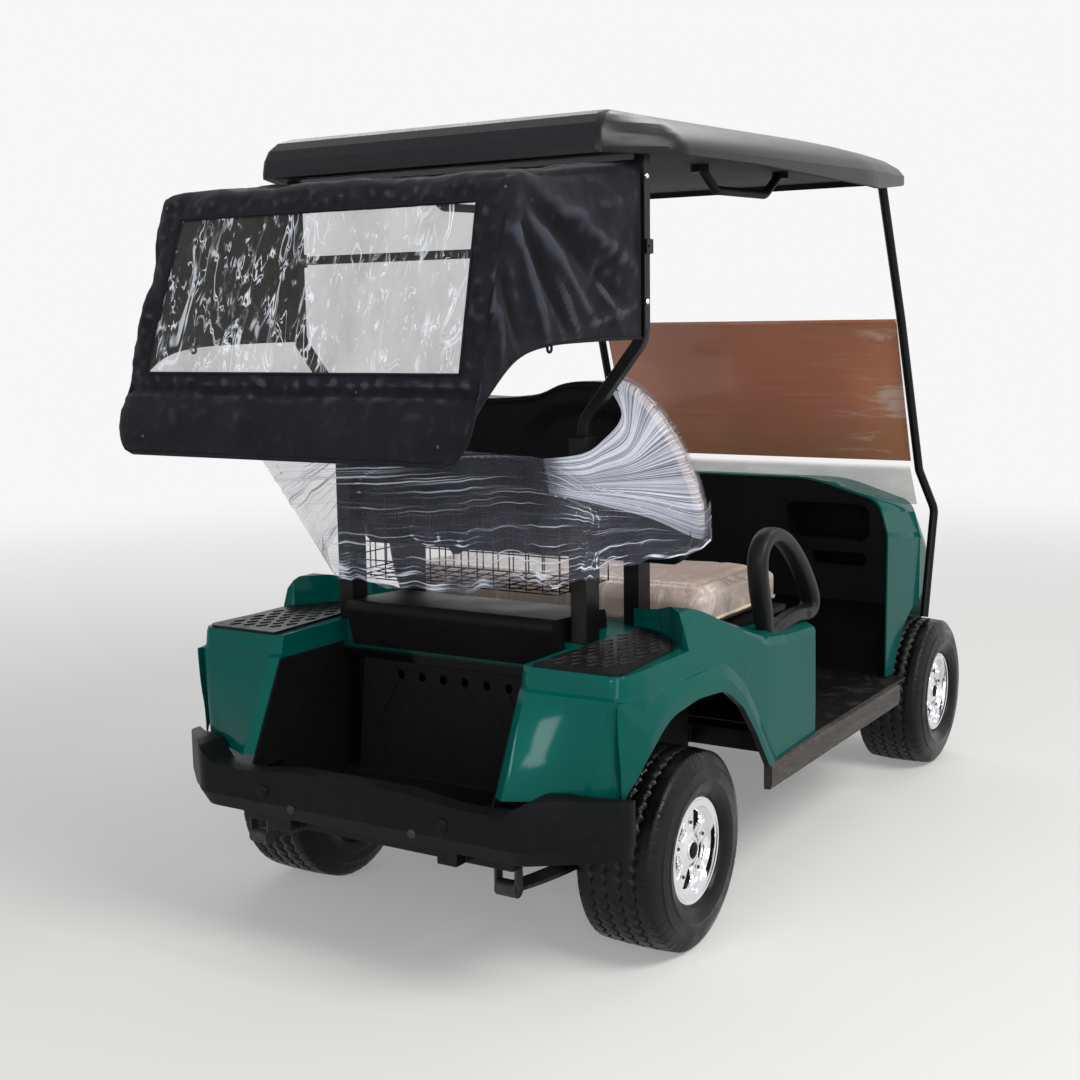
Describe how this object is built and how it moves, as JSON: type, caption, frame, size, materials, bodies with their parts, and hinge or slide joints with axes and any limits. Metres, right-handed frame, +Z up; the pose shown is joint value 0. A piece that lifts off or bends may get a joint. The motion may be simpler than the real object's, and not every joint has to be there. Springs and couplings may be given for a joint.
{
  "type": "golf cart",
  "caption": "Two-seat golf cart with hard roof, rear bag cover, folded windscreen, rear bag well and hinged seat.",
  "frame": {"origin": "on the ground, midway between the nose and the hem of the bag cover, on the middle plane", "axes": "+Z up, the cart faces -Y, +X is the cart's left side"},
  "size_m": [1.214, 2.695, 1.8749],
  "materials": {
    "body_green": "deep metallic teal green, high gloss",
    "black_plastic": "moulded black, fine grain",
    "bumper_plastic": "moulded black, satin",
    "dash_plastic": "moulded black, grained",
    "rocker_plastic": "textured dark brown black",
    "roof_plastic": "grained dark plastic",
    "black_steel": "black powder coat",
    "cast_steel": "dark bare and painted steel",
    "chrome_trim": "bright chrome",
    "tyre_rubber": "black tyre, damp sheen",
    "floor_rubber": "ribbed black mat",
    "step_rubber": "black mat with raised bars",
    "black_rubber": "soft black grip",
    "beige_vinyl": "beige seat vinyl",
    "black_vinyl": "black seat vinyl",
    "wire_black": "black coated wire",
    "cover_fabric": "black woven canvas",
    "window_vinyl": "clear wrinkled vinyl",
    "stretch_film": "clear stretch film",
    "screen_clear": "clear acrylic",
    "screen_paper": "acrylic with brown paper mask",
    "lamp_glass": "clear lamp lens"
  },
  "bodies": {
    "root": {"rear_axle": "cast_steel", "rear_springs": "cast_steel", "front_axle": "cast_steel", "steering_column": "black_steel", "chassis": "black_steel", "floor_pan": "floor_rubber", "rockers": "rocker_plastic", "battery_pack": "black_plastic", "rear_body": "body_green", "step_mats": "step_rubber", "bag_well": "black_plastic", "box_cover": "black_plastic", "rear_bumper": "bumper_plastic", "front_cowl": "body_green", "headlamps": "lamp_glass", "dash": "dash_plastic", "front_bumper": "bumper_plastic", "pedals": "black_steel", "seat_back": "beige_vinyl", "seat_shell": "black_vinyl", "armrests": "black_rubber", "front_posts": "black_steel", "rear_frame": "black_steel", "basket": "wire_black", "seat_film": "stretch_film", "roof": "roof_plastic", "roof_handles": "black_plastic", "screen_struts": "black_steel", "screen_lower": "screen_clear", "screen_folded": "screen_paper", "bag_cover": "cover_fabric", "cover_window": "window_vinyl"},
    "wheel_rl": {"tyre_rl": "tyre_rubber", "rim_rl": "chrome_trim"},
    "wheel_rr": {"tyre_rr": "tyre_rubber", "rim_rr": "chrome_trim"},
    "wheel_fl": {"tyre_fl": "tyre_rubber", "rim_fl": "chrome_trim"},
    "wheel_fr": {"tyre_fr": "tyre_rubber", "rim_fr": "chrome_trim"},
    "knuckle_left": {"knuckle_l": "cast_steel"},
    "knuckle_right": {"knuckle_r": "cast_steel"},
    "tie_rod": {"tie_rod": "cast_steel"},
    "pitman": {"pitman_arm": "cast_steel"},
    "hand_wheel": {"steering_wheel": "black_rubber"},
    "seat_lid": {"seat_cushion": "beige_vinyl", "seat_board": "black_plastic"}
  },
  "joints": [
    {"name": "spin_rl", "type": "hinge", "parent": "root", "child": "wheel_rl", "pos_m": [0.4835, 0.6525, 0.228], "axis": [1, 0, 0], "continuous": true},
    {"name": "spin_rr", "type": "hinge", "parent": "root", "child": "wheel_rr", "pos_m": [-0.4835, 0.6525, 0.228], "axis": [1, 0, 0], "continuous": true},
    {"name": "steer_left", "type": "hinge", "parent": "root", "child": "knuckle_left", "pos_m": [0.425, -1.0445, 0.228], "axis": [0, 0, 1], "range_deg": [-30, 30]},
    {"name": "steer_right", "type": "hinge", "parent": "root", "child": "knuckle_right", "pos_m": [-0.425, -1.0445, 0.228], "axis": [0, 0, 1], "range_deg": [-30, 30]},
    {"name": "spin_fl", "type": "hinge", "parent": "knuckle_left", "child": "wheel_fl", "pos_m": [0.4995, -1.0445, 0.228], "axis": [1, 0, 0], "continuous": true},
    {"name": "spin_fr", "type": "hinge", "parent": "knuckle_right", "child": "wheel_fr", "pos_m": [-0.4995, -1.0445, 0.228], "axis": [1, 0, 0], "continuous": true},
    {"name": "tie_rod_pivot", "type": "hinge", "parent": "knuckle_left", "child": "tie_rod", "pos_m": [0.425, -0.9845, 0.2007], "axis": [0, 0, 1], "range_deg": [-30, 30]},
    {"name": "pitman_turn", "type": "hinge", "parent": "root", "child": "pitman", "pos_m": [0.12, -1.0445, 0.2], "axis": [0, 0, 1], "range_deg": [-30, 30]},
    {"name": "hand_wheel_turn", "type": "hinge", "parent": "root", "child": "hand_wheel", "pos_m": [0.3, -0.43, 0.905], "axis": [0, 0.5592, 0.829], "range_deg": [-360, 360]},
    {"name": "seat_hinge", "type": "hinge", "parent": "root", "child": "seat_lid", "pos_m": [0, -0.042, 0.632], "axis": [1, 0, 0], "range_deg": [0, 75]}
  ],
  "couplings": [
    {"joint": "steer_right", "follows": "steer_left", "ratio": 1},
    {"joint": "tie_rod_pivot", "follows": "steer_left", "ratio": -1},
    {"joint": "pitman_turn", "follows": "steer_left", "ratio": 1},
    {"joint": "hand_wheel_turn", "follows": "steer_left", "ratio": 12}
  ]
}
